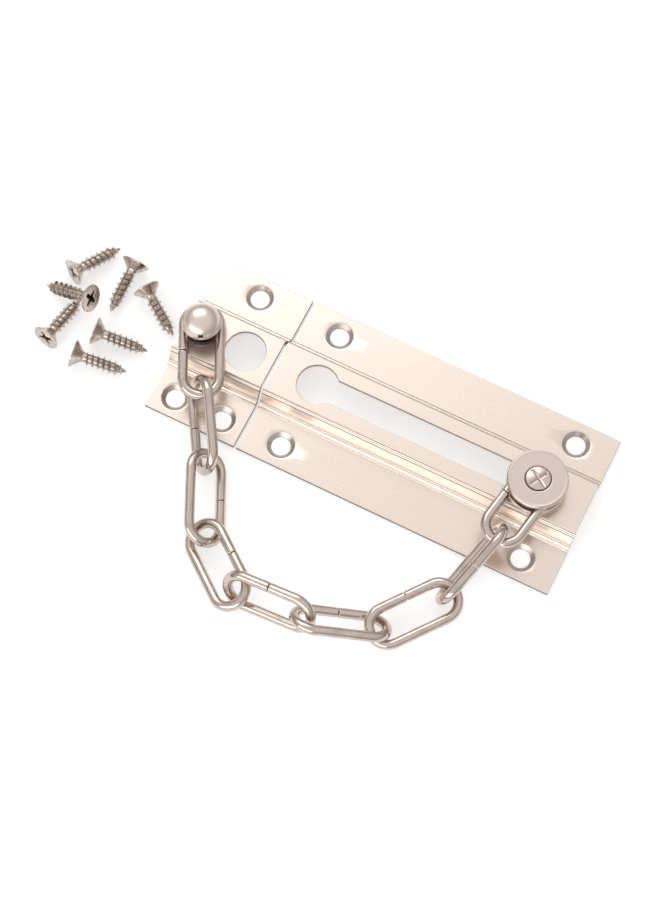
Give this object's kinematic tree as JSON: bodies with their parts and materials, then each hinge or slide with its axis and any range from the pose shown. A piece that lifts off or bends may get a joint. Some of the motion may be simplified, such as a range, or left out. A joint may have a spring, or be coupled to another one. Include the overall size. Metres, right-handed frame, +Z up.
{
  "type": "door chain guard",
  "caption": "Surface mounted door chain guard: slotted slide plate, keep plate with a domed post, link chain, spool button and loose screws.",
  "frame": {"origin": "middle of the whole set's outer box, on the surface it lies on", "axes": "+X along the plates from the keep plate to the slide plate's free end; +Z up, away from the back faces; +Y away from the chain"},
  "size_m": [0.14, 0.079, 0.0158],
  "materials": {
    "satin_nickel": "satin nickel plate, faintly warm",
    "bright_nickel": "bright nickel plate",
    "screw_nickel": "nickel plated steel"
  },
  "bodies": {
    "keep_plate": {"keep_plate": "satin_nickel", "post_stud": "bright_nickel", "post_washer": "bright_nickel"},
    "link_1": {"link_1": "bright_nickel"},
    "link_2": {"link_2": "bright_nickel"},
    "link_3": {"link_3": "bright_nickel"},
    "link_4": {"link_4": "bright_nickel"},
    "link_5": {"link_5": "bright_nickel"},
    "link_6": {"link_6": "bright_nickel"},
    "link_7": {"link_7": "bright_nickel"},
    "link_8": {"link_8": "bright_nickel"},
    "link_9": {"link_9": "bright_nickel"},
    "button": {"button_disc": "satin_nickel", "button_spool": "bright_nickel", "button_foot": "satin_nickel", "button_rivet": "satin_nickel"},
    "slide_plate": {"slide_plate": "satin_nickel"},
    "screw_1": {"screw_1": "screw_nickel"},
    "screw_2": {"screw_2": "screw_nickel"},
    "screw_3": {"screw_3": "screw_nickel"},
    "screw_4": {"screw_4": "screw_nickel"},
    "screw_5": {"screw_5": "screw_nickel"},
    "screw_6": {"screw_6": "screw_nickel"},
    "screw_7": {"screw_7": "screw_nickel"}
  },
  "joints": [
    {"name": "post_swivel", "type": "hinge", "parent": "keep_plate", "child": "link_1", "pos_m": [-0.02932, 0.01867, 0.009], "axis": [0, 0, 1], "range_deg": [-2, 5]},
    {"name": "link_2_turn", "type": "hinge", "parent": "link_1", "child": "link_2", "pos_m": [-0.02322, 0.00557, 0.0072], "axis": [0, 0, 1], "range_deg": [-5, 2]},
    {"name": "link_3_turn", "type": "hinge", "parent": "link_2", "child": "link_3", "pos_m": [-0.01382, -0.00933, 0.0042], "axis": [0, 0, 1], "range_deg": [-40, 0]},
    {"name": "link_4_turn", "type": "hinge", "parent": "link_3", "child": "link_4", "pos_m": [-0.00682, -0.02523, 0.0032], "axis": [0, 0, 1], "range_deg": [-28, 0]},
    {"name": "link_5_turn", "type": "hinge", "parent": "link_4", "child": "link_5", "pos_m": [0.00638, -0.03513, 0.0054], "axis": [0, 0, 1], "range_deg": [-12, 0]},
    {"name": "link_6_turn", "type": "hinge", "parent": "link_5", "child": "link_6", "pos_m": [0.02378, -0.03423, 0.0096], "axis": [0, 0, 1], "range_deg": [-40, 0]},
    {"name": "link_7_turn", "type": "hinge", "parent": "link_6", "child": "link_7", "pos_m": [0.03968, -0.02773, 0.0036], "axis": [0, 0, 1], "range_deg": [-25, 0]},
    {"name": "link_8_turn", "type": "hinge", "parent": "link_7", "child": "link_8", "pos_m": [0.05038, -0.01363, 0.0044], "axis": [0, 0, 1], "range_deg": [-40, 0]},
    {"name": "link_9_turn", "type": "hinge", "parent": "link_8", "child": "link_9", "pos_m": [0.05448, 0.00337, 0.0093], "axis": [0, 0, 1], "range_deg": [-30, 0]},
    {"name": "button_swivel", "type": "hinge", "parent": "link_9", "child": "button", "pos_m": [0.05718, 0.01867, 0.009], "axis": [0, 0, 1], "range_deg": [0, 30]},
    {"name": "button_slide", "type": "slide", "parent": "button", "child": "slide_plate", "axis": [1, 0, 0], "range_m": [0, 0.056]},
    {"name": "screw_1_lift", "type": "slide", "parent": "keep_plate", "child": "screw_1", "axis": [0, 0, 1], "range_m": [0, 0.03]},
    {"name": "screw_2_lift", "type": "slide", "parent": "keep_plate", "child": "screw_2", "axis": [0, 0, 1], "range_m": [0, 0.03]},
    {"name": "screw_3_draw", "type": "slide", "parent": "keep_plate", "child": "screw_3", "axis": [-0.1564, -0.9877, 0], "range_m": [0, 0.025]},
    {"name": "screw_4_lift", "type": "slide", "parent": "keep_plate", "child": "screw_4", "axis": [0, 0, 1], "range_m": [0, 0.03]},
    {"name": "screw_5_lift", "type": "slide", "parent": "keep_plate", "child": "screw_5", "axis": [0, 0, 1], "range_m": [0, 0.03]},
    {"name": "screw_6_lift", "type": "slide", "parent": "keep_plate", "child": "screw_6", "axis": [0, 0, 1], "range_m": [0, 0.03]},
    {"name": "screw_7_lift", "type": "slide", "parent": "keep_plate", "child": "screw_7", "axis": [0, 0, 1], "range_m": [0, 0.03]}
  ],
  "couplings": [
    {"joint": "link_2_turn", "follows": "post_swivel", "ratio": -1},
    {"joint": "link_9_turn", "follows": "button_swivel", "ratio": -1}
  ]
}
